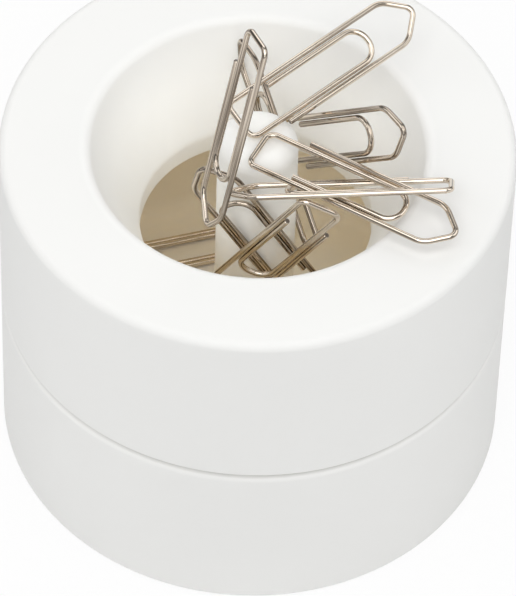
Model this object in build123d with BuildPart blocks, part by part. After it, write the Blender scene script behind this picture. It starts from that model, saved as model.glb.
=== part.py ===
"""Magnetic paper clip holder: a round two-piece tub with a funnel mouth and a magnetic post.

Millimetres, +Z up, origin on the table at the centre of the round footprint, -Y towards the viewer.
"""

import os
from math import cos, radians, sin, tan

from build123d import *

os.makedirs("parts", exist_ok=True)

# Outside of the body
body_radius = 36.5
rim_height = 57.9
seam_height = 28.9
seam_gap = 0.25
rim_round = 1.2
seam_round = 1.55
bottom_round = 0.5

# Upper shell: wall, top ring, funnel and neck
upper_wall = 2.4
top_thickness = 2.4
mouth_radius = 23.9
mouth_round = 1.5
throat_radius = 16.6
throat_round = 2.5
funnel_depth = 15.7
neck_length = 3.4
funnel_thickness = 2.2

# Lower shell: wall, conical cup floor and the hub that holds the post
lower_wall = 3.2
floor_thickness = 2.0
floor_slope = 13.0
floor_corner = 3.0
hub_wall = 3.35
hub_rise = 2.0

# Spigot of the lower shell inside the upper shell, with its snap bead
spigot_wall = 1.1
spigot_height = 4.2
spigot_clearance = 0.1
bead_width = 1.0
bead_height = 0.3

# Post and magnet
post_radius = 5.7
post_proud = 2.3
post_round = 2.5
post_wall = 1.3
post_cap = 1.4
post_clearance = 0.15
flange_width = 3.2
flange_thickness = 1.6
magnet_length = 24.0
magnet_clearance = 0.1
spacer_wall = 1.6

# Base: ballast plate, cover and pads
plate_thickness = 1.5
plate_clearance = 0.2
cover_thickness = 1.4
cover_clearance = 0.1
cover_seat = 1.0
seat_clearance = 0.05
pad_count = 4
pad_radius = 4.5
pad_thickness = 1.5
pad_inset = 3.8
cover_recess = 1.2

# Paper clip: one bent wire, sizes along the wire's centre line
wire_diameter = 0.85
clip_length = 30.8
clip_width = 7.0
point_length = 3.2
point_overrun = 0.55
inner_loop_gap = 8.0
inner_leg_inset = 0.95
outer_leg_start = 6.0
inner_leg_start = 6.5
inner_end_radius = 2.4
flat_end_inner_radius = 1.4
flat_end_outer_radius = 1.0
shoulder_radius = 3.2
point_radius = 1.2

# Where the clips on the post rest: how far off its axis or its side, and how far above or below its top
rear_right_reach = 2.4
rear_right_rise = 1.7
front_right_reach = 2.7
front_right_rise = 0.8
linked_reach = 10.6
linked_drop = 1.0
front_reach = 16.2
front_drop = 0.3
leaning_standoff = 1.9
leaning_drop = 10.2
front_left_standoff = 4.0
front_left_drop = 0.9
upright_standoff = 8.2
upright_drop = 5.2

# Where the clips in the tub rest: off the mouth's edge, under the rim, off the cup's wall and above its floor
funnel_clip_inset = 3.1
funnel_clip_drop = 1.3
cup_clip_inset = 10.9
cup_clip_clearance = 0.2

# Worked-out places
post_top = rim_height + post_proud
neck_top = rim_height - funnel_depth
neck_bottom = neck_top - neck_length
cup_radius = body_radius - lower_wall
upper_inner_radius = body_radius - upper_wall
spigot_radius = cup_radius + spigot_wall
rebate_radius = spigot_radius + spigot_clearance
bead_base = seam_height + (spigot_height - bead_width) / 2
cover_bottom = pad_thickness
cover_top = cover_bottom + cover_thickness
shell_bottom = cover_bottom - cover_recess
plate_top = cover_top + plate_thickness
plate_radius = cup_radius - cover_seat - plate_clearance
floor_height = plate_top + plate_clearance + floor_thickness
pad_circle = cup_radius - pad_inset - pad_radius
flange_top = plate_top + flange_thickness
post_hole_radius = post_radius + post_clearance
hub_radius = post_hole_radius + hub_wall
bore_radius = post_radius - post_wall
magnet_radius = bore_radius - magnet_clearance
magnet_top = post_top - post_cap
magnet_bottom = magnet_top - magnet_length
half_width = clip_width / 2


def floor_at(radius):
    """Height of the cup's conical floor at a distance from the axis."""
    return floor_height + (cup_radius - radius) * tan(radians(floor_slope))


def round_corner(profile, corner, radius):
    """Round the corner of a profile that lies at the given radius and height."""
    fillet(profile.vertices().sort_by_distance(corner)[0], radius)


# Lower shell: the cup that the loose clips lie in
with BuildPart() as lower_shell:
    hub_top = floor_at(hub_radius) + hub_rise
    seam_edge = min(seam_round, 0.75 * (body_radius - spigot_radius))
    with BuildSketch(Plane.XZ) as cup_profile:
        with BuildLine():
            Polyline(
                (post_hole_radius, flange_top + seat_clearance),
                (hub_radius, flange_top + seat_clearance),
                (hub_radius, floor_at(hub_radius) - floor_thickness),
                (cup_radius - cover_seat, floor_at(cup_radius - cover_seat) - floor_thickness),
                (cup_radius - cover_seat, cover_top + seat_clearance),
                (cup_radius, cover_top + seat_clearance),
                (cup_radius, shell_bottom),
                (body_radius, shell_bottom),
                (body_radius, seam_height),
                (spigot_radius, seam_height),
                (spigot_radius, bead_base),
                (spigot_radius + bead_height, bead_base + bead_width / 2),
                (spigot_radius, bead_base + bead_width),
                (spigot_radius, seam_height + spigot_height),
                (cup_radius, seam_height + spigot_height),
                (cup_radius, floor_at(cup_radius)),
                (hub_radius, floor_at(hub_radius)),
                (hub_radius, hub_top),
                (post_hole_radius, hub_top),
                close=True,
            )
        make_face()
        round_corner(cup_profile, (body_radius, shell_bottom), bottom_round)
        round_corner(cup_profile, (body_radius, seam_height), seam_edge)
        round_corner(cup_profile, (cup_radius, floor_height), floor_corner)
    revolve(axis=Axis.Z)
lower_shell.part.label = "lower_shell"
export_step(lower_shell.part, "parts/lower_shell.step")


# Upper shell: outer wall, top ring and the funnel that narrows to the neck round the post
with BuildPart() as upper_shell:
    rebate_top = seam_height + spigot_height + seam_gap
    ring_underside = rim_height - top_thickness
    funnel_run = (mouth_radius - throat_radius) / (rim_height - neck_top)
    underside_radius = throat_radius + funnel_thickness + funnel_run * (ring_underside - neck_top)
    with BuildSketch(Plane.XZ) as collar_profile:
        with BuildLine():
            Polyline(
                (rebate_radius, seam_height + seam_gap),
                (body_radius, seam_height + seam_gap),
                (body_radius, rim_height),
                (mouth_radius, rim_height),
                (throat_radius, neck_top),
                (throat_radius, neck_bottom),
                (throat_radius + funnel_thickness, neck_bottom),
                (throat_radius + funnel_thickness, neck_top),
                (underside_radius, ring_underside),
                (upper_inner_radius, ring_underside),
                (upper_inner_radius, rebate_top),
                (rebate_radius, rebate_top),
                (rebate_radius, bead_base + bead_width + spigot_clearance),
                (rebate_radius + bead_height, bead_base + bead_width / 2),
                (rebate_radius, bead_base - spigot_clearance),
                close=True,
            )
        make_face()
        round_corner(collar_profile, (body_radius, rim_height), rim_round)
        round_corner(collar_profile, (mouth_radius, rim_height), mouth_round)
        round_corner(collar_profile, (throat_radius, neck_top), throat_round)
    revolve(axis=Axis.Z)
upper_shell.part.label = "upper_shell"
export_step(upper_shell.part, "parts/upper_shell.step")


# Post: a closed sleeve with a foot flange trapped under the cup's hub
with BuildPart() as post_sleeve:
    with BuildSketch(Plane.XY.offset(plate_top)):
        Circle(post_radius + flange_width)
    extrude(amount=flange_thickness)
    with BuildSketch(Plane.XY.offset(plate_top)):
        Circle(post_radius)
    extrude(amount=post_top - plate_top)
    fillet(post_sleeve.faces().sort_by(Axis.Z)[-1].edges(), post_round)
    with BuildSketch(Plane.XY.offset(plate_top)):
        Circle(bore_radius)
    extrude(amount=magnet_top - plate_top, mode=Mode.SUBTRACT)
post_sleeve.part.label = "post_sleeve"
export_step(post_sleeve.part, "parts/post_sleeve.step")

with BuildPart() as magnet:
    with BuildSketch(Plane.XY.offset(magnet_bottom)):
        Circle(magnet_radius)
    extrude(amount=magnet_length)
magnet.part.label = "magnet"
export_step(magnet.part, "parts/magnet.step")

# Tube that stands on the ballast plate and holds the magnet up against the post's cap
with BuildPart() as magnet_spacer:
    with BuildSketch(Plane.XY.offset(plate_top)):
        Circle(magnet_radius)
        Circle(magnet_radius - spacer_wall, mode=Mode.SUBTRACT)
    extrude(amount=magnet_bottom - plate_top)
magnet_spacer.part.label = "magnet_spacer"
export_step(magnet_spacer.part, "parts/magnet_spacer.step")


# Base: steel plate that weights the tub and carries the post, closed by a pressed-in cover
with BuildPart() as ballast_plate:
    with BuildSketch(Plane.XY.offset(cover_top)):
        Circle(plate_radius)
    extrude(amount=plate_thickness)
ballast_plate.part.label = "ballast_plate"
export_step(ballast_plate.part, "parts/ballast_plate.step")

with BuildPart() as base_cover:
    with BuildSketch(Plane.XY.offset(cover_bottom)):
        Circle(cup_radius - cover_clearance)
    extrude(amount=cover_thickness)
base_cover.part.label = "base_cover"
export_step(base_cover.part, "parts/base_cover.step")

for pad_number in range(pad_count):
    pad_bearing = radians(360 / pad_count * (pad_number + 0.5))
    pad_centre = (pad_circle * cos(pad_bearing), pad_circle * sin(pad_bearing), 0)
    with BuildPart() as foot_pad:
        with BuildSketch(Plane(pad_centre)):
            Circle(pad_radius)
        extrude(amount=pad_thickness)
    foot_pad.part.label = f"foot_pad_{pad_number + 1}"
    export_step(foot_pad.part, f"parts/foot_pad_{pad_number + 1}.step")


# Places along a clip that a resting clip can be set by
FLAT_END = 0.0
MIDDLE = clip_length / 2
POINT = clip_length


def over_post(side, reach, rise):
    """Point at a compass side of the post's axis, that far out and that much above its top."""
    return (reach * cos(radians(side)), reach * sin(radians(side)), post_top + rise)


def beside_post(side, standoff, rise):
    """Point at a compass side of the post, off its surface and above its top."""
    return over_post(side, post_radius + standoff, rise)


def clip_plane(anchor, bearing, climb, roll):
    """Plane of a clip: X along it from the flat end to the point, turned about X by roll."""
    along = Vector(1, 0, 0).rotate(Axis.Y, -climb).rotate(Axis.Z, bearing)
    level = Vector(0, 1, 0).rotate(Axis.Z, bearing)
    across = level.rotate(Axis((0, 0, 0), tuple(along)), roll)
    return Plane(origin=anchor, x_dir=along, z_dir=along.cross(across))


def make_clip(name, held_at, anchor, bearing, climb, roll):
    """One pointed paper clip, with the named place along it set at the anchor."""
    inner_half = half_width - inner_leg_inset
    inner_round = min(inner_end_radius, 0.95 * inner_half)
    shoulder = clip_length - point_length
    inner_end = clip_length - inner_loop_gap
    bends = [
        (inner_leg_start, inner_half),
        (inner_end, inner_half),
        (inner_end, -inner_half),
        (0, -inner_half),
        (0, half_width),
        (shoulder, half_width),
        (clip_length + point_overrun, 0),
        (shoulder, -half_width),
        (outer_leg_start, -half_width),
    ]
    bend_radii = [
        inner_round,
        inner_round,
        flat_end_inner_radius,
        flat_end_outer_radius,
        shoulder_radius,
        point_radius,
        shoulder_radius,
    ]
    with BuildPart() as clip:
        with BuildLine(clip_plane(anchor, bearing, climb, roll)) as wire_path:
            FilletPolyline(*[(x - held_at, y) for x, y in bends], radius=bend_radii)
        with BuildSketch(Plane(origin=wire_path.line @ 0, z_dir=wire_path.line % 0)):
            Circle(wire_diameter / 2)
        sweep(path=wire_path.line)
    clip.part.label = name
    export_step(clip.part, f"parts/{name}.step")


# Clips that lie across the post's top, one threaded through another
rear_right_place = over_post(174, rear_right_reach, rear_right_rise)
make_clip("clip_rear_right", FLAT_END, rear_right_place, bearing=40, climb=6, roll=25)
front_right_place = over_post(-82, front_right_reach, front_right_rise)
make_clip("clip_front_right", FLAT_END, front_right_place, bearing=-28, climb=-1, roll=-174)
linked_place = over_post(-110, linked_reach, -linked_drop)
make_clip("clip_linked", POINT, linked_place, bearing=-179, climb=-5, roll=36)
front_place = over_post(-54, front_reach, -front_drop)
make_clip("clip_front", FLAT_END, front_place, bearing=154, climb=-61, roll=70)

# Clips that hang on the post's side
leaning_place = beside_post(67, leaning_standoff, -leaning_drop)
make_clip("clip_leaning", FLAT_END, leaning_place, bearing=-41, climb=43, roll=69)
front_left_place = beside_post(-141.5, front_left_standoff, -front_left_drop)
make_clip("clip_front_left", POINT, front_left_place, bearing=176, climb=59, roll=86)
upright_place = beside_post(-119, upright_standoff, -upright_drop)
make_clip("clip_upright", POINT, upright_place, bearing=-123, climb=-69, roll=35)

# Clip behind the post, with its point against the funnel
funnel_clip_rise = rim_height - funnel_clip_drop - post_top
rear_place = over_post(98, mouth_radius - funnel_clip_inset, funnel_clip_rise)
make_clip("clip_rear", POINT, rear_place, bearing=117, climb=38, roll=91)

# Loose clip lying on the cup's sloping floor
cup_clip_reach = cup_radius - cup_clip_inset
cup_clip_rise = floor_at(cup_clip_reach) + wire_diameter / 2 + cup_clip_clearance - post_top
cup_clip_place = over_post(115, cup_clip_reach, cup_clip_rise)
make_clip("clip_in_cup", MIDDLE, cup_clip_place, bearing=17, climb=0, roll=-floor_slope)
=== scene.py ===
"""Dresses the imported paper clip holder: turned white mouldings, nickel wire clips and a white studio."""

import math

import bmesh
import bpy
from mathutils import Matrix, Quaternion, Vector


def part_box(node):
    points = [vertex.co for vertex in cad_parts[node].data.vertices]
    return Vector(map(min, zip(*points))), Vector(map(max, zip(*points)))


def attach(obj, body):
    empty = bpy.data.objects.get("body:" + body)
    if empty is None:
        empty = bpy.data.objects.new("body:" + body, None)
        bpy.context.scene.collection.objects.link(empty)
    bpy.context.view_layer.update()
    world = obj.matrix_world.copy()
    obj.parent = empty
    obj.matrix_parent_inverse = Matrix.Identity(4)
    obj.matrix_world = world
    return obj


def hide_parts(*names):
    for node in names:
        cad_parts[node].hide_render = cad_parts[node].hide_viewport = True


bl_info = {
    "name": "Magnetic Paper Clip Holder",
    "version": (1, 0, 0),
    "blender": (4, 5, 0),
    "location": "View3D > Sidebar > Clip Holder",
    "description": "Builds the looks of a magnetic paper clip holder round its packed frame",
    "category": "Object",
}

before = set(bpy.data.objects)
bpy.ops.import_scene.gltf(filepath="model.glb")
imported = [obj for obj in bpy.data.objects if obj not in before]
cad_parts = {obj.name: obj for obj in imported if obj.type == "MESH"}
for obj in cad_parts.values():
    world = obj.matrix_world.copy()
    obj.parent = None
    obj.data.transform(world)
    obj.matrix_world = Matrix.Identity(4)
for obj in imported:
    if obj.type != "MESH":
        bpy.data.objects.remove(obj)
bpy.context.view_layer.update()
MM = 0.001
ROOT = "holder"

RIM_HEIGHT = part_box("upper_shell")[1].z
BODY_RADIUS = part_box("upper_shell")[1].x
COLLAR_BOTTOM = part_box("upper_shell")[0].z
SPIGOT_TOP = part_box("lower_shell")[1].z
SHELL_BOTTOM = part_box("lower_shell")[0].z
POST_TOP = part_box("post_sleeve")[1].z
FLANGE_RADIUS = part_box("post_sleeve")[1].x
PLATE_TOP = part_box("ballast_plate")[1].z
COVER_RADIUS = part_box("base_cover")[1].x
COVER_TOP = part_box("base_cover")[1].z
COVER_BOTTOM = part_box("base_cover")[0].z
PAD_NODES = sorted(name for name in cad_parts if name.startswith("foot_pad"))


def linear(hex_code):
    """Linear RGBA from an sRGB hex value."""
    parts = [int(hex_code[i : i + 2], 16) / 255 for i in (1, 3, 5)]
    return tuple(c / 12.92 if c <= 0.04045 else ((c + 0.055) / 1.055) ** 2.4 for c in parts) + (1.0,)


def length(name, description, default):
    """A length property in metres."""
    return bpy.props.FloatProperty(
        name=name,
        description=description,
        default=default,
        subtype="DISTANCE",
        unit="LENGTH",
        precision=5,
    )


def angle(name, description, degrees):
    """An angle property, its default given in degrees."""
    return bpy.props.FloatProperty(
        name=name,
        description=description,
        default=math.radians(degrees),
        subtype="ANGLE",
        unit="ROTATION",
    )


def power(name, description, watts):
    """A lamp's power property."""
    return bpy.props.FloatProperty(name=name, description=description, default=watts, unit="POWER")


def share(name, description, default):
    """A share property, from none to all."""
    return bpy.props.FloatProperty(
        name=name,
        description=description,
        default=default,
        subtype="FACTOR",
        min=0,
        max=1,
    )


def camera_length(name, description, millimetres):
    """A length inside the camera, in millimetres."""
    return bpy.props.FloatProperty(
        name=name,
        description=description,
        default=millimetres,
        subtype="DISTANCE_CAMERA",
    )


def count(name, description, default):
    """A whole number property."""
    return bpy.props.IntProperty(name=name, description=description, default=default, min=3)


def colour(name, description, hex_code):
    """A colour property, its default given as an sRGB hex value."""
    return bpy.props.FloatVectorProperty(
        name=name,
        description=description,
        default=linear(hex_code)[:3],
        size=3,
        subtype="COLOR",
        min=0,
        max=1,
    )


class ShellSizes(bpy.types.PropertyGroup):
    """Sizes of the two white shells."""

    mouth_radius: length("Mouth Radius", "Radius of the funnel at the top ring", 23.9 * MM)
    mouth_round: length("Mouth Rounding", "Rounding of the ring's inner edge", 1.5 * MM)
    rim_round: length("Rim Rounding", "Rounding of the ring's outer edge", 1.2 * MM)
    throat_radius: length("Throat Radius", "Radius of the neck round the post", 16.6 * MM)
    throat_round: length("Throat Rounding", "Rounding where the funnel meets the neck", 2.5 * MM)
    funnel_depth: length("Funnel Depth", "Height of the funnel under the rim", 15.7 * MM)
    funnel_thickness: length("Funnel Thickness", "Wall of the funnel, measured level", 2.2 * MM)
    neck_length: length("Neck Length", "Straight neck under the funnel", 3.4 * MM)
    upper_wall: length("Upper Wall", "Wall and top ring of the upper shell", 2.4 * MM)
    lower_wall: length("Lower Wall", "Wall of the lower shell", 3.2 * MM)
    seam_gap: length("Seam Gap", "Open line between the two shells", 0.25 * MM)
    seam_round: length("Seam Rounding", "Rounding of the lower shell's top edge", 1.55 * MM)
    collar_edge: length("Collar Edge", "Rounding of the upper shell's lower edge", 0.15 * MM)
    bottom_round: length("Bottom Rounding", "Rounding of the lower shell's bottom edge", 0.5 * MM)
    skirt_edge: length("Skirt Edge", "Rounding of that edge's inner side", 0.3 * MM)
    fine_edge: length("Fine Edge", "Rounding of the small inner edges", 0.2 * MM)
    spigot_wall: length("Spigot Wall", "Upstand of the lower shell inside the upper one", 1.1 * MM)
    spigot_clearance: length("Spigot Clearance", "Gap round the upstand", 0.1 * MM)
    floor_thickness: length("Floor Thickness", "Cup floor", 2.0 * MM)
    floor_clearance: length("Floor Clearance", "Gap between cup floor and ballast plate", 0.2 * MM)
    floor_slope: angle("Floor Slope", "Rise of the cup floor towards the post", 13)
    floor_corner: length("Floor Corner", "Rounding between floor and wall", 3.0 * MM)
    cover_seat: length("Cover Seat", "Ledge that stops the base cover", 1.0 * MM)
    hub_radius: length("Hub Radius", "Raised ring round the post's foot", 9.2 * MM)
    hub_rise: length("Hub Rise", "Height of that ring over the floor", 2.0 * MM)
    hub_round: length("Hub Rounding", "Rounding of that ring's edges", 0.6 * MM)
    segments: count("Segments", "Faces round each turned piece", 256)


class PostSizes(bpy.types.PropertyGroup):
    """Sizes of the post."""

    radius: length("Post Radius", "Outside of the post", 5.7 * MM)
    top_round: length("Top Rounding", "Rounding of the post's top edge", 2.5 * MM)
    wall: length("Post Wall", "Wall of the sleeve", 1.3 * MM)
    cap: length("Post Cap", "Thickness of the closed top", 1.4 * MM)
    bore_round: length("Bore Rounding", "Rounding at the bore's closed end", 0.4 * MM)
    flange: length("Foot Flange", "Thickness of the foot flange", 1.6 * MM)
    flange_edge: length("Flange Edge", "Rounding of the foot flange", 0.2 * MM)
    hole_clearance: length("Hole Clearance", "Gap between the post and the cup's hub", 0.15 * MM)
    seat_clearance: length("Seat Clearance", "Gap between the flange and the cup's hub", 0.05 * MM)


class BaseSizes(bpy.types.PropertyGroup):
    """Edges of the base cover and the foot pads."""

    cover_top_edge: length("Cover Top Edge", "Rounding of the cover's upper edge", 0.2 * MM)
    cover_bottom_edge: length("Cover Bottom Edge", "Rounding of the cover's lower edge", 0.4 * MM)
    pad_top_edge: length("Pad Top Edge", "Rounding of a pad's upper edge", 0.1 * MM)
    pad_bottom_edge: length("Pad Bottom Edge", "Rounding of a pad's lower edge", 0.25 * MM)


class ClipSizes(bpy.types.PropertyGroup):
    """Sizes of one bent wire clip, along the wire's centre line."""

    wire: length("Wire Diameter", "Thickness of the wire", 0.85 * MM)
    cut_chamfer: length("Cut Chamfer", "Bevel of the cut ends", 0.08 * MM)
    length: length("Clip Length", "Flat end to rounded point", 30.8 * MM)
    width: length("Clip Width", "Between the two outer legs", 7.0 * MM)
    point: length("Point Length", "Shoulders to point", 3.2 * MM)
    overrun: length("Point Overrun", "How far the unrounded point would stand out", 0.55 * MM)
    inner_gap: length("Inner Gap", "Inner loop's end to the point", 8.0 * MM)
    inset: length("Inner Inset", "Inner legs inside the outer ones", 0.95 * MM)
    outer_start: length("Outer Start", "Flat end to the outer leg's cut end", 6.0 * MM)
    inner_start: length("Inner Start", "Flat end to the inner leg's cut end", 6.5 * MM)
    inner_bend: length("Inner Bend", "Bends of the inner loop's end", 2.4 * MM)
    flat_inner_bend: length("Flat End Inner Bend", "Bend from an inner leg to the flat end", 1.4 * MM)
    flat_outer_bend: length("Flat End Outer Bend", "Bend from the flat end to an outer leg", 1.0 * MM)
    shoulder_bend: length("Shoulder Bend", "Bends from the outer legs to the point", 3.2 * MM)
    point_bend: length("Point Bend", "Bend of the point", 1.2 * MM)
    sides: count("Wire Sides", "Faces round the wire", 20)


class FinishColours(bpy.types.PropertyGroup):
    """Colours of the finishes."""

    white: colour("White", "Moulded white plastic outside", "#EFEFED")
    # The funnel, cup and cup floor whites are brighter copies of the outside white: painted light in the
    # throat, on the post and in the cup, warmer in the cup.
    funnel: colour("Funnel White", "Same plastic on the smooth throat and post", "#FFFFFC")
    cup: colour("Cup White", "Same plastic on the walls of the cup", "#FFFBF2")
    cup_floor_painted_light: colour("Cup Floor White", "Same plastic on the smooth cup floor", "#FFFFFC")
    nickel: colour("Nickel", "Plating of the clips", "#E4DACE")
    # Dark of the draw lines, partly painted dark reflection.
    drawn_dark_and_painted_reflection: colour("Draw Marks", "Dark lines that drawing leaves along the wire", "#4C3F33")


class StudioSettings(bpy.types.PropertyGroup):
    """Camera, table and light of the studio."""

    camera_distance: length("Camera Distance", "From the aim point", 806.0 * MM)
    camera_height: angle("Camera Elevation", "Angle above the table", 50.55)
    aim_height: length("Aim Height", "Height of the aim point on the post's axis", 30.6 * MM)
    camera_pan: angle("Camera Pan", "Turn off the aim point to the side", -0.05)
    camera_tilt: angle("Camera Tilt", "Turn off the aim point up or down", -0.301)
    camera_roll: angle("Camera Roll", "Turn about the line of sight", -1.866)
    sensor_width: camera_length("Sensor Width", "Width of the picture inside the camera", 36.0)
    focal_length: camera_length("Focal Length", "Lens for that sensor", 337.2)
    table_reach: length("Table Reach", "From the middle of the table to its sides", 2.0)
    table_glow: share("Table Glow", "Share of plain white that the lens sees on the table", 0.9)
    lamp_distance: length("Lamp Distance", "From the lamps to the point that they face", 1.4)
    lamp_aim: length("Lamp Aim", "Height of that point on the post's axis", 50.0 * MM)
    key_side: angle("Key Side", "Turn of the softbox from the front, to the right", -4)
    key_height: angle("Key Elevation", "Angle of the softbox above the table", 68)
    key_size: length("Key Size", "Side of the softbox", 1.35)
    key_power: power("Key Power", "Softbox over the lens", 10.6)
    panel_height: angle("Panel Elevation", "Angle of the panels above the table", 35)
    panel_size: length("Panel Size", "Side of each panel", 1.2)
    front_power: power("Front Power", "Front panel", 5.0)
    side_power: power("Side Power", "Each of the other panels", 5.3)
    room_glow: share("Room Glow", "Light between the panels, as a share of white", 0.21)


def add_node(tree, kind, values=None, links=None, **settings):
    """Add a shader node, set its properties and sockets, and link other sockets into it."""
    made = tree.nodes.new(kind)
    for key, value in settings.items():
        setattr(made, key, value)
    for key, value in (values or {}).items():
        made.inputs[key].default_value = value
    for key, source in (links or {}).items():
        tree.links.new(source, made.inputs[key])
    return made


def new_material(name):
    """An empty node material and its tree."""
    material = bpy.data.materials.new(name)
    material.use_nodes = True
    material.node_tree.nodes.clear()
    return material, material.node_tree


def per_metre(size_mm):
    """Texture scale for a pattern whose repeat is a real size in millimetres."""
    return 1.0 / (size_mm * MM)


def moulded_white(name, base, smooth, near, far, joint):
    """Injection-moulded white ABS off a spark-eroded mould: matt, so soft light with a very fine grain.

    From the far radius to the near one the colour turns into a brighter copy of the white, so that towards
    the axis the plastic gives back a little more light: painted light in the funnel, on the post and on the
    cup floor.
    """
    cloud_mm, grain_mm = 22, 0.4
    # Painted shade along the joint: where it begins, where it is darkest, its tone there and where it stops.
    painted_shade_begins, painted_shade_full, painted_shade_tone = joint - 0.8 * MM, joint - 0.4 * MM, 0.78
    painted_shade_ends = joint + 0.1 * MM
    material, tree = new_material(name)
    place = add_node(tree, "ShaderNodeTexCoord").outputs["Object"]
    level = add_node(tree, "ShaderNodeVectorMath", {1: (1, 1, 0)}, {0: place}, operation="MULTIPLY")
    reach = add_node(tree, "ShaderNodeVectorMath", links={0: level.outputs[0]}, operation="LENGTH")
    # From the far radius to the near one the colour turns into the brighter copy: painted light.
    outer = add_node(
        tree,
        "ShaderNodeMapRange",
        {"From Min": near, "From Max": far},
        {"Value": reach.outputs["Value"]},
    )
    skin = add_node(
        tree,
        "ShaderNodeMix",
        {"A": (*smooth, 1), "B": (*base, 1)},
        {"Factor": outer.outputs["Result"]},
        data_type="RGBA",
    )
    cloud = add_node(
        tree,
        "ShaderNodeTexNoise",
        {"Scale": per_metre(cloud_mm), "Detail": 2.0, "Roughness": 0.5},
        {"Vector": place},
    )
    shade = add_node(
        tree,
        "ShaderNodeMapRange",
        {"From Min": 0.3, "From Max": 0.7, "To Min": 0.99, "To Max": 1.0},
        {"Value": cloud.outputs["Fac"]},
    )
    tinted = add_node(
        tree,
        "ShaderNodeVectorMath",
        links={0: skin.outputs["Result"], "Scale": shade.outputs["Result"]},
        operation="SCALE",
    )
    # Painted shade in the joint between the shells, on the lower shell's rounded edge under the upper one.
    height = add_node(tree, "ShaderNodeSeparateXYZ", links={"Vector": place}).outputs["Z"]
    rise = add_node(
        tree,
        "ShaderNodeMapRange",
        {"From Min": painted_shade_begins, "From Max": painted_shade_full, "To Min": 1.0, "To Max": painted_shade_tone},
        {"Value": height},
    )
    above = add_node(tree, "ShaderNodeMath", {1: painted_shade_ends}, {0: height}, operation="GREATER_THAN")
    painted_shade = add_node(
        tree,
        "ShaderNodeMath",
        links={0: rise.outputs["Result"], 1: above.outputs["Value"]},
        operation="MAXIMUM",
    )
    tone = add_node(
        tree,
        "ShaderNodeVectorMath",
        links={0: tinted.outputs["Vector"], "Scale": painted_shade.outputs["Value"]},
        operation="SCALE",
    )
    grain = add_node(
        tree,
        "ShaderNodeTexNoise",
        {"Scale": per_metre(grain_mm), "Detail": 2.0, "Roughness": 0.6},
        {"Vector": place},
    )
    sheen = add_node(
        tree,
        "ShaderNodeMapRange",
        {"From Min": 0.3, "From Max": 0.7, "To Min": 0.66, "To Max": 0.76},
        {"Value": grain.outputs["Fac"]},
    )
    relief = add_node(
        tree,
        "ShaderNodeBump",
        {"Strength": 0.12, "Distance": 0.02 * MM},
        {"Height": grain.outputs["Fac"]},
    )
    shader = add_node(
        tree,
        "ShaderNodeBsdfPrincipled",
        {"IOR": 1.53},
        {
            "Base Color": tone.outputs["Vector"],
            "Roughness": sheen.outputs["Result"],
            "Normal": relief.outputs["Normal"],
        },
    )
    add_node(tree, "ShaderNodeOutputMaterial", links={"Surface": shader.outputs["BSDF"]})
    return material


def streaks(tree, along_wire, run_mm, number_round, detail):
    """Noise drawn out along a wire: streaks of about that length, with that number of them round the wire."""
    stretched = add_node(
        tree, "ShaderNodeMapping", {"Scale": (1 / run_mm, number_round, 1)}, {"Vector": along_wire}
    )
    noise = add_node(
        tree, "ShaderNodeTexNoise", {"Scale": 1.0, "Detail": detail}, {"Vector": stretched.outputs["Vector"]}
    )
    return noise.outputs["Fac"]


def nickel_wire(name, base, drawn_dark_and_painted_reflection, wear):
    """Bright nickel on drawn steel wire: a mirror with dark draw lines along it, partly painted dark
    reflection, and a faint warm mottle.

    Real draw lines are a few hundredths of a millimetre wide. The dark ones, eight round the wire, are drawn
    about ten times coarser, to show, and stand in part for dark reflections along the wire: painted dark
    reflection. At 1 the dark lines are wider still, more painted dark reflection for the steep clips.
    """
    mottle_mm, warm_tint = 3, (0.93, 0.88, 0.80)
    material, tree = new_material(name)
    place = add_node(tree, "ShaderNodeTexCoord")
    lines = streaks(tree, place.outputs["UV"], run_mm=5.556, number_round=42, detail=3.0)
    marks_and_painted_reflection = streaks(tree, place.outputs["UV"], run_mm=20, number_round=8, detail=1.0)
    mottle = add_node(
        tree,
        "ShaderNodeTexNoise",
        {"Scale": per_metre(mottle_mm), "Detail": 3.0},
        {"Vector": place.outputs["Object"]},
    )
    warm = tuple(part * tint for part, tint in zip(base, warm_tint))
    plating = add_node(
        tree,
        "ShaderNodeMix",
        {"A": (*base, 1), "B": (*warm, 1)},
        {"Factor": mottle.outputs["Fac"]},
        data_type="RGBA",
    )
    # Painted dark reflection: the draw lines darkened, wider on the steep clips.
    depth = add_node(
        tree,
        "ShaderNodeMapRange",
        {"From Min": 0.56 - 0.19 * wear, "From Max": 0.66 - 0.05 * wear, "To Min": 0.0, "To Max": 0.8},
        {"Value": marks_and_painted_reflection},
    )
    tone = add_node(
        tree,
        "ShaderNodeMix",
        {"B": (*drawn_dark_and_painted_reflection, 1)},
        {"Factor": depth.outputs["Result"], "A": plating.outputs["Result"]},
        data_type="RGBA",
    )
    polish = add_node(
        tree,
        "ShaderNodeMapRange",
        {"From Min": 0.3, "From Max": 0.7, "To Min": 0.07, "To Max": 0.16},
        {"Value": lines},
    )
    relief = add_node(tree, "ShaderNodeBump", {"Strength": 0.10, "Distance": 0.02 * MM}, {"Height": lines})
    shader = add_node(
        tree,
        "ShaderNodeBsdfPrincipled",
        {"Metallic": 1.0},
        {
            "Base Color": tone.outputs["Result"],
            "Roughness": polish.outputs["Result"],
            "Normal": relief.outputs["Normal"],
        },
    )
    add_node(tree, "ShaderNodeOutputMaterial", links={"Surface": shader.outputs["BSDF"]})
    return material


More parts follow.
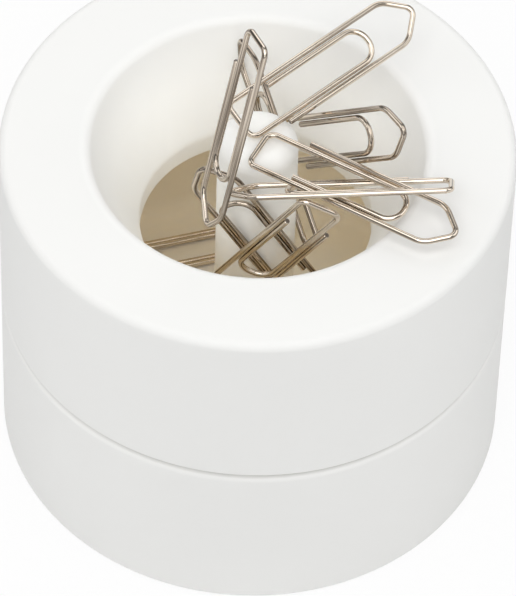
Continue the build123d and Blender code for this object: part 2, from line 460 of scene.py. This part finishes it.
def grained(name, dark_hex, light_hex, grain_mm, roughness, metallic=0.0, relief_mm=0.02):
    """A plain grained surface: speckle between two tones at a real grain size, with a matching relief."""
    material, tree = new_material(name)
    place = add_node(tree, "ShaderNodeTexCoord").outputs["Object"]
    grain = add_node(
        tree, "ShaderNodeTexNoise", {"Scale": per_metre(grain_mm), "Detail": 4.0}, {"Vector": place}
    )
    tone = add_node(
        tree,
        "ShaderNodeMix",
        {"A": linear(dark_hex), "B": linear(light_hex)},
        {"Factor": grain.outputs["Fac"]},
        data_type="RGBA",
    )
    relief = add_node(
        tree,
        "ShaderNodeBump",
        {"Strength": 0.3, "Distance": relief_mm * MM},
        {"Height": grain.outputs["Fac"]},
    )
    shader = add_node(
        tree,
        "ShaderNodeBsdfPrincipled",
        {"Roughness": roughness, "Metallic": metallic},
        {"Base Color": tone.outputs["Result"], "Normal": relief.outputs["Normal"]},
    )
    add_node(tree, "ShaderNodeOutputMaterial", links={"Surface": shader.outputs["BSDF"]})
    return material


def material_named(name, make, *args, **kwargs):
    """The material of that name, made the first time it is asked for."""
    return bpy.data.materials.get(name) or make(name, *args, **kwargs)


def shell_plastic(name, base, smooth, near, far):
    """Moulded white that turns into a brighter copy, painted light, inside the near radius and is plain
    outside the far one.
    """
    joint = COLLAR_BOTTOM - bpy.context.scene.shell_sizes.seam_gap
    return material_named(name, moulded_white, tuple(base), tuple(smooth), near, far, joint)


def white_plastic():
    """The plastic that shows outside, with a brighter copy, painted light, from half way down the funnel."""
    colours, shell = bpy.context.scene.holder_colours, bpy.context.scene.shell_sizes
    half_way = (shell.throat_radius + shell.mouth_radius) / 2
    ring = shell.mouth_radius + shell.mouth_round
    return shell_plastic("moulded_white_abs", colours.white, colours.funnel, half_way, ring)


def cup_plastic():
    """The plastic inside the cup, a brighter and warmer copy of the white, brighter still on the floor under
    the throat: painted light.
    """
    colours, shell = bpy.context.scene.holder_colours, bpy.context.scene.shell_sizes
    wall = BODY_RADIUS - shell.lower_wall
    return shell_plastic("moulded_cup_abs", colours.cup, colours.cup_floor_painted_light, shell.throat_radius, wall)


def corner_arc(before, corner, after, radius, step=math.radians(9)):
    """Points of the arc that rounds a corner, from the incoming line to the outgoing one."""
    inward, onward = (before - corner).normalized(), (after - corner).normalized()
    opening = inward.angle(onward)
    reach = radius / math.tan(opening / 2)
    start, end = corner + inward * reach, corner + onward * reach
    centre = corner + (inward + onward).normalized() * radius / math.sin(opening / 2)
    first, last = start - centre, end - centre
    sweep = math.pi - opening
    steps = max(2, math.ceil(sweep / step))
    fractions = [i / steps for i in range(steps + 1)]
    return [
        centre + (first * math.sin((1 - f) * sweep) + last * math.sin(f * sweep)) / math.sin(sweep)
        for f in fractions
    ]


def rounded_profile(corners, closed, support=0.25 * MM):
    """Points round a turned profile and the finish of each stretch.

    A corner is (radius, height, rounding, finish of the stretch that follows). Long stretches get a support
    point near each end, so that their shading stays flat up to the rounding.
    """
    total = len(corners)
    runs = []
    for i, (radius, height, rounding, finish) in enumerate(corners):
        corner = Vector((radius, height, 0))
        inside = closed or 0 < i < total - 1
        if rounding and inside:
            before, after = corners[i - 1], corners[(i + 1) % total]
            arc = corner_arc(Vector((*before[:2], 0)), corner, Vector((*after[:2], 0)), rounding)
        else:
            arc = [corner]
        runs.append((arc, finish))
    points, finishes = [], []
    for i, (arc, finish) in enumerate(runs):
        points += arc
        finishes += [finish] * len(arc)
        if i == total - 1 and not closed:
            break
        start, end = arc[-1], runs[(i + 1) % total][0][0]
        run = end - start
        if run.length > 4 * support:
            points += [start + run.normalized() * support, end - run.normalized() * support]
            finishes += [finish] * 2
    return points, finishes


def spokes(number):
    """Directions evenly round a circle."""
    turns = [2 * math.pi * k / number for k in range(number)]
    return [(math.cos(turn), math.sin(turn)) for turn in turns]


def turned_piece(name, corners, materials, closed=True, on_axis=1e-7):
    """A mesh turned about the Z axis from a profile."""
    points, finishes = rounded_profile(corners, closed)
    segments = bpy.context.scene.shell_sizes.segments
    circle = spokes(segments)
    mesh_builder = bmesh.new()
    rings = []
    for point in points:
        if point.x < on_axis:
            rings.append([mesh_builder.verts.new((0, 0, point.y))])
        else:
            rings.append([mesh_builder.verts.new((point.x * x, point.x * y, point.y)) for x, y in circle])
    pairs = len(rings) if closed else len(rings) - 1
    for i in range(pairs):
        ring, following = rings[i], rings[(i + 1) % len(rings)]
        for k in range(segments):
            n = (k + 1) % segments
            if len(ring) == 1:
                corner_verts = [ring[0], following[n], following[k]]
            elif len(following) == 1:
                corner_verts = [ring[k], ring[n], following[0]]
            else:
                corner_verts = [ring[k], ring[n], following[n], following[k]]
            face = mesh_builder.faces.new(corner_verts)
            face.material_index = finishes[i]
            face.smooth = True
    return finished_mesh(name, mesh_builder, materials)


def finished_mesh(name, mesh_builder, materials, crease=math.radians(32)):
    """Object from a mesh under construction, with outward faces and creased corners."""
    bmesh.ops.recalc_face_normals(mesh_builder, faces=mesh_builder.faces)
    for edge in mesh_builder.edges:
        edge.smooth = len(edge.link_faces) == 2 and edge.calc_face_angle(0) < crease
    mesh = bpy.data.meshes.new(name)
    mesh_builder.to_mesh(mesh)
    mesh_builder.free()
    for material in materials:
        mesh.materials.append(material)
    piece = bpy.data.objects.new(name, mesh)
    bpy.context.scene.collection.objects.link(piece)
    return piece


def stand_for(piece, node, body):
    """Let a piece take a CAD node's place on its body."""
    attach(piece, body)
    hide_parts(node)


# Finish of a stretch of a turned profile: its place in the piece's list of materials.
OUTSIDE, INSIDE = 0, 1


class HOLDER_OT_upper_shell(bpy.types.Operator):
    """Turn the upper shell: outer wall, top ring, funnel and neck"""

    bl_idname = "holder.upper_shell"
    bl_label = "Upper Shell"

    def execute(self, context):
        s = context.scene.shell_sizes
        neck_top = RIM_HEIGHT - s.funnel_depth
        neck_bottom = neck_top - s.neck_length
        ring_under = RIM_HEIGHT - s.upper_wall
        spread = (s.mouth_radius - s.throat_radius) / s.funnel_depth
        outer_neck = s.throat_radius + s.funnel_thickness
        rebate = BODY_RADIUS - s.lower_wall + s.spigot_wall + s.spigot_clearance
        inner = BODY_RADIUS - s.upper_wall
        rebate_top = SPIGOT_TOP + s.seam_gap
        corners = [
            (rebate, COLLAR_BOTTOM, 0, INSIDE),
            (BODY_RADIUS, COLLAR_BOTTOM, s.collar_edge, OUTSIDE),
            (BODY_RADIUS, RIM_HEIGHT, s.rim_round, OUTSIDE),
            (s.mouth_radius, RIM_HEIGHT, s.mouth_round, OUTSIDE),
            (s.throat_radius, neck_top, s.throat_round, OUTSIDE),
            (s.throat_radius, neck_bottom, s.fine_edge, INSIDE),
            (outer_neck, neck_bottom, s.fine_edge, INSIDE),
            (outer_neck, neck_top, 0, INSIDE),
            (outer_neck + spread * (ring_under - neck_top), ring_under, 0, INSIDE),
            (inner, ring_under, 0, INSIDE),
            (inner, rebate_top, 0, INSIDE),
            (rebate, rebate_top, 0, INSIDE),
        ]
        piece = turned_piece("upper_shell_moulding", corners, [white_plastic(), cup_plastic()])
        stand_for(piece, "upper_shell", ROOT)
        return {"FINISHED"}


class HOLDER_OT_lower_shell(bpy.types.Operator):
    """Turn the lower shell: cup, conical floor and hub"""

    bl_idname = "holder.lower_shell"
    bl_label = "Lower Shell"

    def execute(self, context):
        s, p = context.scene.shell_sizes, context.scene.post_sizes
        cup = BODY_RADIUS - s.lower_wall
        spigot = cup + s.spigot_wall
        seam = COLLAR_BOTTOM - s.seam_gap
        floor_edge = PLATE_TOP + s.floor_clearance + s.floor_thickness
        hub_floor = floor_edge + (cup - s.hub_radius) * math.tan(s.floor_slope)
        hub_top = hub_floor + s.hub_rise
        seat = cup - s.cover_seat
        seat_floor = floor_edge + s.cover_seat * math.tan(s.floor_slope)
        post_hole = p.radius + p.hole_clearance
        hub_bottom = PLATE_TOP + p.flange + p.seat_clearance
        corners = [
            (post_hole, hub_bottom, 0, INSIDE),
            (s.hub_radius, hub_bottom, 0, INSIDE),
            (s.hub_radius, hub_floor - s.floor_thickness, 0, INSIDE),
            (seat, seat_floor - s.floor_thickness, 0, INSIDE),
            (seat, COVER_TOP, 0, INSIDE),
            (cup, COVER_TOP, 0, OUTSIDE),
            (cup, SHELL_BOTTOM, s.skirt_edge, OUTSIDE),
            (BODY_RADIUS, SHELL_BOTTOM, s.bottom_round, OUTSIDE),
            (BODY_RADIUS, seam, s.seam_round, OUTSIDE),
            (spigot, seam, 0, INSIDE),
            (spigot, SPIGOT_TOP, s.fine_edge, INSIDE),
            (cup, SPIGOT_TOP, s.fine_edge, INSIDE),
            (cup, floor_edge, s.floor_corner, INSIDE),
            (s.hub_radius, hub_floor, s.hub_round, INSIDE),
            (s.hub_radius, hub_top, s.hub_round, INSIDE),
            (post_hole, hub_top, s.fine_edge, INSIDE),
        ]
        piece = turned_piece("lower_shell_moulding", corners, [white_plastic(), cup_plastic()])
        stand_for(piece, "lower_shell", ROOT)
        return {"FINISHED"}


class HOLDER_OT_post(bpy.types.Operator):
    """Turn the post's sleeve and finish the magnet and spacer inside it"""

    bl_idname = "holder.post"
    bl_label = "Post"

    def execute(self, context):
        p = context.scene.post_sizes
        bore = p.radius - p.wall
        bore_top = POST_TOP - p.cap
        flange_top = PLATE_TOP + p.flange
        corners = [
            (0, bore_top, 0, OUTSIDE),
            (bore, bore_top, p.bore_round, OUTSIDE),
            (bore, PLATE_TOP, 0, OUTSIDE),
            (FLANGE_RADIUS, PLATE_TOP, p.flange_edge, OUTSIDE),
            (FLANGE_RADIUS, flange_top, p.flange_edge, OUTSIDE),
            (p.radius, flange_top, 0, OUTSIDE),
            (p.radius, POST_TOP, p.top_round, OUTSIDE),
            (0, POST_TOP, 0, OUTSIDE),
        ]
        piece = turned_piece("post_moulding", corners, [white_plastic()], closed=False)
        stand_for(piece, "post_sleeve", ROOT)
        # Sintered ferrite is a dull charcoal with a fine speckle.
        ferrite = material_named("sintered_ferrite", grained, "#26272A", "#3C3D41", 0.25, 0.62)
        # Uncoloured moulded polypropylene is a waxy grey-white with faint clouds.
        natural = material_named("natural_polypropylene", grained, "#B9B8B1", "#CFCEC8", 0.8, 0.5)
        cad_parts["magnet"].data.materials[0] = ferrite
        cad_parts["magnet_spacer"].data.materials[0] = natural
        return {"FINISHED"}


class HOLDER_OT_base(bpy.types.Operator):
    """Turn the base cover and foot pads and finish the ballast plate"""

    bl_idname = "holder.base"
    bl_label = "Base"

    def execute(self, context):
        b = context.scene.base_sizes
        corners = [
            (0, COVER_TOP, 0, OUTSIDE),
            (COVER_RADIUS, COVER_TOP, b.cover_top_edge, OUTSIDE),
            (COVER_RADIUS, COVER_BOTTOM, b.cover_bottom_edge, OUTSIDE),
            (0, COVER_BOTTOM, 0, OUTSIDE),
        ]
        cover = turned_piece("base_cover_disc", corners, [white_plastic()], closed=False)
        stand_for(cover, "base_cover", ROOT)
        # Moulded rubber is nearly black and dull, with a fine dusty grain.
        rubber = material_named("moulded_rubber", grained, "#1C1C1D", "#2A2A2B", 0.5, 0.75)
        for node in PAD_NODES:
            low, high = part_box(node)
            radius = (high.x - low.x) / 2
            pad_corners = [
                (0, high.z, 0, OUTSIDE),
                (radius, high.z, b.pad_top_edge, OUTSIDE),
                (radius, low.z, b.pad_bottom_edge, OUTSIDE),
                (0, low.z, 0, OUTSIDE),
            ]
            pad = turned_piece(node + "_disc", pad_corners, [rubber], closed=False)
            middle = (low + high) / 2
            pad.data.transform(Matrix.Translation((middle.x, middle.y, 0)))
            stand_for(pad, node, ROOT)
        # Zinc-plated steel is a soft grey metal with a fine spangle.
        zinc = material_named("zinc_plated_steel", grained, "#8F9294", "#B4B7B9", 1.5, 0.38, metallic=1.0)
        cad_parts["ballast_plate"].data.materials[0] = zinc
        return {"FINISHED"}


# Where each clip rests: the place along it that is set, then that place's compass side in degrees, its
# distance from the post's axis and its rise over the post's top in millimetres, then the clip's bearing,
# climb and roll in degrees.
FLAT_END, MIDDLE, POINT = 0.0, 0.5, 1.0
CLIP_PLACES = {
    "clip_rear_right": (FLAT_END, (174, 2.4, 1.7), 40, 6, 25),
    "clip_front_right": (FLAT_END, (-82, 2.7, 0.8), -28, -1, -174),
    "clip_linked": (POINT, (-110, 10.6, -1.0), -179, -5, 36),
    "clip_front": (FLAT_END, (-54, 16.2, -0.3), 154, -61, 70),
    "clip_leaning": (FLAT_END, (67, 7.6, -10.2), -41, 43, 69),
    "clip_front_left": (POINT, (-141.5, 9.7, -0.9), 176, 59, 86),
    "clip_upright": (POINT, (-119, 13.9, -5.2), -123, -69, 35),
    "clip_rear": (POINT, (98, 20.8, -3.6), 117, 38, 91),
    "clip_in_cup": (MIDDLE, (115, 22.4, -50.39), 17, 0, -13),
}

# Finish of a clip's cut ends: their place in its list of materials, after the plating.
CUT_END = 1

# Steep clips whose dark lines along the wire are wider: painted dark reflection.
PAINTED_DARK_REFLECTION_CLIPS = ("clip_upright", "clip_front_left", "clip_rear", "clip_leaning")


def clip_frame(side, reach, rise, bearing, climb, roll):
    """Matrix of a resting clip: X along it from the flat end to the point, Z square to it."""
    turn = math.radians(side)
    place = Vector((reach * MM * math.cos(turn), reach * MM * math.sin(turn), POST_TOP + rise * MM))
    pose = (
        Matrix.Rotation(math.radians(bearing), 4, "Z")
        @ Matrix.Rotation(math.radians(-climb), 4, "Y")
        @ Matrix.Rotation(math.radians(roll), 4, "X")
    )
    return Matrix.Translation(place) @ pose


def clip_path(c, step=math.radians(6), closest=0.02 * MM):
    """Centre line of one clip from its inner cut end to its outer one, flat in XY."""
    half = c.width / 2
    inner = half - c.inset
    shoulder = c.length - c.point
    inner_end = c.length - c.inner_gap
    bends = [
        (c.inner_start, inner, 0),
        (inner_end, inner, c.inner_bend),
        (inner_end, -inner, c.inner_bend),
        (0, -inner, c.flat_inner_bend),
        (0, half, c.flat_outer_bend),
        (shoulder, half, c.shoulder_bend),
        (c.length + c.overrun, 0, c.point_bend),
        (shoulder, -half, c.shoulder_bend),
        (c.outer_start, -half, 0),
    ]
    spots = [Vector((x, y, 0)) for x, y, _ in bends]
    points = [spots[0]]
    for i in range(1, len(bends) - 1):
        arc = corner_arc(spots[i - 1], spots[i], spots[i + 1], bends[i][2], step)
        points += [p for p in arc if (p - points[-1]).length > closest]
    return points + [spots[-1]]


def wire_rings(points, radius, chamfer):
    """Rings of the swept tube, cut ends chamfered: centre, direction, radius and run along the wire."""
    spans = [(b - a).length for a, b in zip(points, points[1:])]
    ways = [(b - a).normalized() for a, b in zip(points, points[1:])]
    first, last = points[0], points[-1]
    rings = [(first, ways[0], radius - chamfer, 0.0), (first + ways[0] * chamfer, ways[0], radius, chamfer)]
    run = 0.0
    for i in range(1, len(points) - 1):
        run += spans[i - 1]
        rings.append((points[i], (ways[i - 1] + ways[i]).normalized(), radius, run))
    run += spans[-1]
    rings.append((last - ways[-1] * chamfer, ways[-1], radius, run - chamfer))
    rings.append((last, ways[-1], radius - chamfer, run))
    return rings


def wire_mesh(name, points, c, materials):
    """A round wire swept along a flat path.

    Its UV is the run along the wire in millimetres and the share of a turn round it.
    """
    mesh_builder = bmesh.new()
    layer = mesh_builder.loops.layers.uv.new("wire")
    upward = Vector((0, 0, 1))
    circle = spokes(c.sides)
    rings = []
    for centre, way, size, run in wire_rings(points, c.wire / 2, c.cut_chamfer):
        across = Vector((-way.y, way.x, 0))
        verts = [mesh_builder.verts.new(centre + (across * x + upward * y) * size) for x, y in circle]
        rings.append((verts, run / MM))
    for (ring, run), (following, next_run) in zip(rings, rings[1:]):
        for k in range(c.sides):
            n = (k + 1) % c.sides
            face = mesh_builder.faces.new([ring[k], ring[n], following[n], following[k]])
            face.smooth = True
            turn, next_turn = k / c.sides, (k + 1) / c.sides
            spots = [(run, turn), (run, next_turn), (next_run, next_turn), (next_run, turn)]
            for loop, spot in zip(face.loops, spots):
                loop[layer].uv = spot
    for ring in (rings[0][0], rings[-1][0]):
        mesh_builder.faces.new(ring).material_index = CUT_END
    return finished_mesh(name, mesh_builder, materials)


class HOLDER_OT_clips(bpy.types.Operator):
    """Bend the wire clips and lay each one in its place"""

    bl_idname = "holder.clips"
    bl_label = "Paper Clips"

    def execute(self, context):
        c, colours = context.scene.clip_sizes, context.scene.holder_colours
        tones = tuple(colours.nickel), tuple(colours.drawn_dark_and_painted_reflection)
        bright = material_named("bright_nickel_wire", nickel_wire, *tones, wear=0.0)
        painted_dark = material_named("worn_nickel_wire", nickel_wire, *tones, wear=1.0)
        # A sheared end is bare grey-brown steel with a torn grain.
        sheared = material_named(
            "sheared_steel_end", grained, "#6E6760", "#8F877E", 0.15, 0.45, metallic=1.0
        )
        for node, (held_at, place, bearing, climb, roll) in CLIP_PLACES.items():
            # The steep clips take the plating with more painted dark reflection.
            plating = painted_dark if node in PAINTED_DARK_REFLECTION_CLIPS else bright
            piece = wire_mesh(node + "_wire", clip_path(c), c, [plating, sheared])
            set_back = Matrix.Translation((-held_at * c.length, 0, 0))
            piece.data.transform(clip_frame(*place, bearing, climb, roll) @ set_back)
            stand_for(piece, node, node)
        return {"FINISHED"}


def camera_turn(s):
    """Place and turn of the camera at the photograph's viewing angle."""
    aim = Vector((0, 0, s.aim_height))
    back = Vector((0, -math.cos(s.camera_height), math.sin(s.camera_height)))
    forward, right = -back, Vector((1, 0, 0))
    up = right.cross(forward)
    pan = Quaternion(up, s.camera_pan)
    forward, right = pan @ forward, pan @ right
    tilt = Quaternion(right, s.camera_tilt)
    forward, up = tilt @ forward, tilt @ up
    roll = Quaternion(forward, s.camera_roll)
    right, up = roll @ right, roll @ up
    turn = Matrix((right, up, -forward)).transposed().to_4x4()
    return Matrix.Translation(aim + back * s.camera_distance) @ turn


def place_camera(scene, s):
    """Add the camera and look through it."""
    lens = bpy.data.cameras.new("camera")
    lens.lens = s.focal_length
    lens.sensor_width = s.sensor_width
    lens.clip_start, lens.clip_end = 0.05, 10.0
    camera = bpy.data.objects.new("camera", lens)
    camera.matrix_world = camera_turn(s)
    scene.collection.objects.link(camera)
    scene.camera = camera


def white_table(name, white_share):
    """Seamless white card: matt, plain white to the lens and in reflections, with a faint shadow."""
    fibre_mm = 0.8
    material, tree = new_material(name)
    place = add_node(tree, "ShaderNodeTexCoord").outputs["Object"]
    fibre = add_node(
        tree, "ShaderNodeTexNoise", {"Scale": per_metre(fibre_mm), "Detail": 3.0}, {"Vector": place}
    )
    relief = add_node(
        tree, "ShaderNodeBump", {"Strength": 0.1, "Distance": 0.05 * MM}, {"Height": fibre.outputs["Fac"]}
    )
    card = add_node(
        tree,
        "ShaderNodeBsdfDiffuse",
        {"Color": linear("#EDEDED"), "Roughness": 0.5},
        {"Normal": relief.outputs["Normal"]},
    )
    glow = add_node(tree, "ShaderNodeEmission", {"Color": (1, 1, 1, 1), "Strength": 1.0})
    rays = add_node(tree, "ShaderNodeLightPath")
    seen = add_node(
        tree,
        "ShaderNodeMath",
        links={0: rays.outputs["Is Camera Ray"], 1: rays.outputs["Is Glossy Ray"]},
        operation="MAXIMUM",
    )
    shown = add_node(
        tree,
        "ShaderNodeMath",
        links={0: seen.outputs[0], 1: rays.outputs["Is Transmission Ray"]},
        operation="MAXIMUM",
    )
    part = add_node(tree, "ShaderNodeMath", {1: white_share}, {0: shown.outputs[0]}, operation="MULTIPLY")
    mixed = add_node(
        tree,
        "ShaderNodeMixShader",
        links={0: part.outputs[0], 1: card.outputs["BSDF"], 2: glow.outputs["Emission"]},
    )
    add_node(tree, "ShaderNodeOutputMaterial", links={"Surface": mixed.outputs["Shader"]})
    return material


def lay_table(scene, s):
    """Lay the card that the holder stands on."""
    reach = s.table_reach
    mesh = bpy.data.meshes.new("table")
    corners = [(-reach, -reach, 0), (reach, -reach, 0), (reach, reach, 0), (-reach, reach, 0)]
    mesh.from_pydata(corners, [], [(0, 1, 2, 3)])
    mesh.materials.append(material_named("white_card", white_table, s.table_glow))
    table = bpy.data.objects.new("table", mesh)
    scene.collection.objects.link(table)


# The four panels' sides, turned from the front to the right, in degrees.
PANEL_SIDES = {"front_panel": 0, "left_panel": -90, "right_panel": 90, "back_panel": 180}


def softbox(name, s, side, height, size, watts):
    """A square area lamp on one side and at one angle above the table, turned towards the holder."""
    lamp = bpy.data.lights.new(name, "AREA")
    lamp.shape = "SQUARE"
    lamp.size = size
    lamp.energy = watts
    outward = Vector(
        (math.cos(height) * math.sin(side), -math.cos(height) * math.cos(side), math.sin(height))
    )
    holder = bpy.data.objects.new(name, lamp)
    holder.location = Vector((0, 0, s.lamp_aim)) + outward * s.lamp_distance
    holder.rotation_mode = "QUATERNION"
    holder.rotation_quaternion = (-outward).to_track_quat("-Z", "Y")
    holder.visible_camera = False
    bpy.context.scene.collection.objects.link(holder)


def hang_lamps(s):
    """Hang the softbox over the lens and a panel on each side."""
    softbox("key_softbox", s, s.key_side, s.key_height, s.key_size, s.key_power)
    for name, side in PANEL_SIDES.items():
        watts = s.front_power if name == "front_panel" else s.side_power
        softbox(name, s, math.radians(side), s.panel_height, s.panel_size, watts)


def fill_room(scene, s):
    """Give the room between the panels a dim even glow."""
    world = bpy.data.worlds.new("studio")
    world.use_nodes = True
    scene.world = world
    tree = world.node_tree
    tree.nodes.clear()
    room = add_node(tree, "ShaderNodeBackground", {"Color": (1, 1, 1, 1), "Strength": s.room_glow})
    add_node(tree, "ShaderNodeOutputWorld", links={"Surface": room.outputs["Background"]})


class HOLDER_OT_stage(bpy.types.Operator):
    """Set the camera, the white table and the soft studio light"""

    bl_idname = "holder.stage"
    bl_label = "Stage"

    def execute(self, context):
        scene, s = context.scene, context.scene.studio_settings
        scene.view_settings.view_transform = "Standard"
        # Light that falls down the throat bounces many times in the white cup, and comes out tan.
        scene.cycles.diffuse_bounces = 24
        scene.cycles.max_bounces = 32
        place_camera(scene, s)
        lay_table(scene, s)
        hang_lamps(s)
        fill_room(scene, s)
        return {"FINISHED"}


OPERATORS = [
    HOLDER_OT_upper_shell,
    HOLDER_OT_lower_shell,
    HOLDER_OT_post,
    HOLDER_OT_base,
    HOLDER_OT_clips,
    HOLDER_OT_stage,
]
GROUPS = {
    "shell_sizes": ShellSizes,
    "post_sizes": PostSizes,
    "base_sizes": BaseSizes,
    "clip_sizes": ClipSizes,
    "holder_colours": FinishColours,
    "studio_settings": StudioSettings,
}


class HOLDER_PT_panel(bpy.types.Panel):
    """Lists the pieces of the clip holder"""

    bl_idname = "HOLDER_PT_panel"
    bl_label = "Clip Holder"
    bl_space_type = "VIEW_3D"
    bl_region_type = "UI"
    bl_category = "Clip Holder"

    def draw(self, context):
        for operator in OPERATORS:
            self.layout.operator(operator.bl_idname)


def register():
    for name, group in GROUPS.items():
        bpy.utils.register_class(group)
        setattr(bpy.types.Scene, name, bpy.props.PointerProperty(type=group))
    for item in [*OPERATORS, HOLDER_PT_panel]:
        bpy.utils.register_class(item)


def unregister():
    for item in [HOLDER_PT_panel, *reversed(OPERATORS)]:
        bpy.utils.unregister_class(item)
    for name, group in reversed(GROUPS.items()):
        delattr(bpy.types.Scene, name)
        bpy.utils.unregister_class(group)


def main():
    register()
    bpy.ops.holder.upper_shell()
    bpy.ops.holder.lower_shell()
    bpy.ops.holder.post()
    bpy.ops.holder.base()
    bpy.ops.holder.clips()
    bpy.ops.holder.stage()


if __name__ == "__main__":
    main()
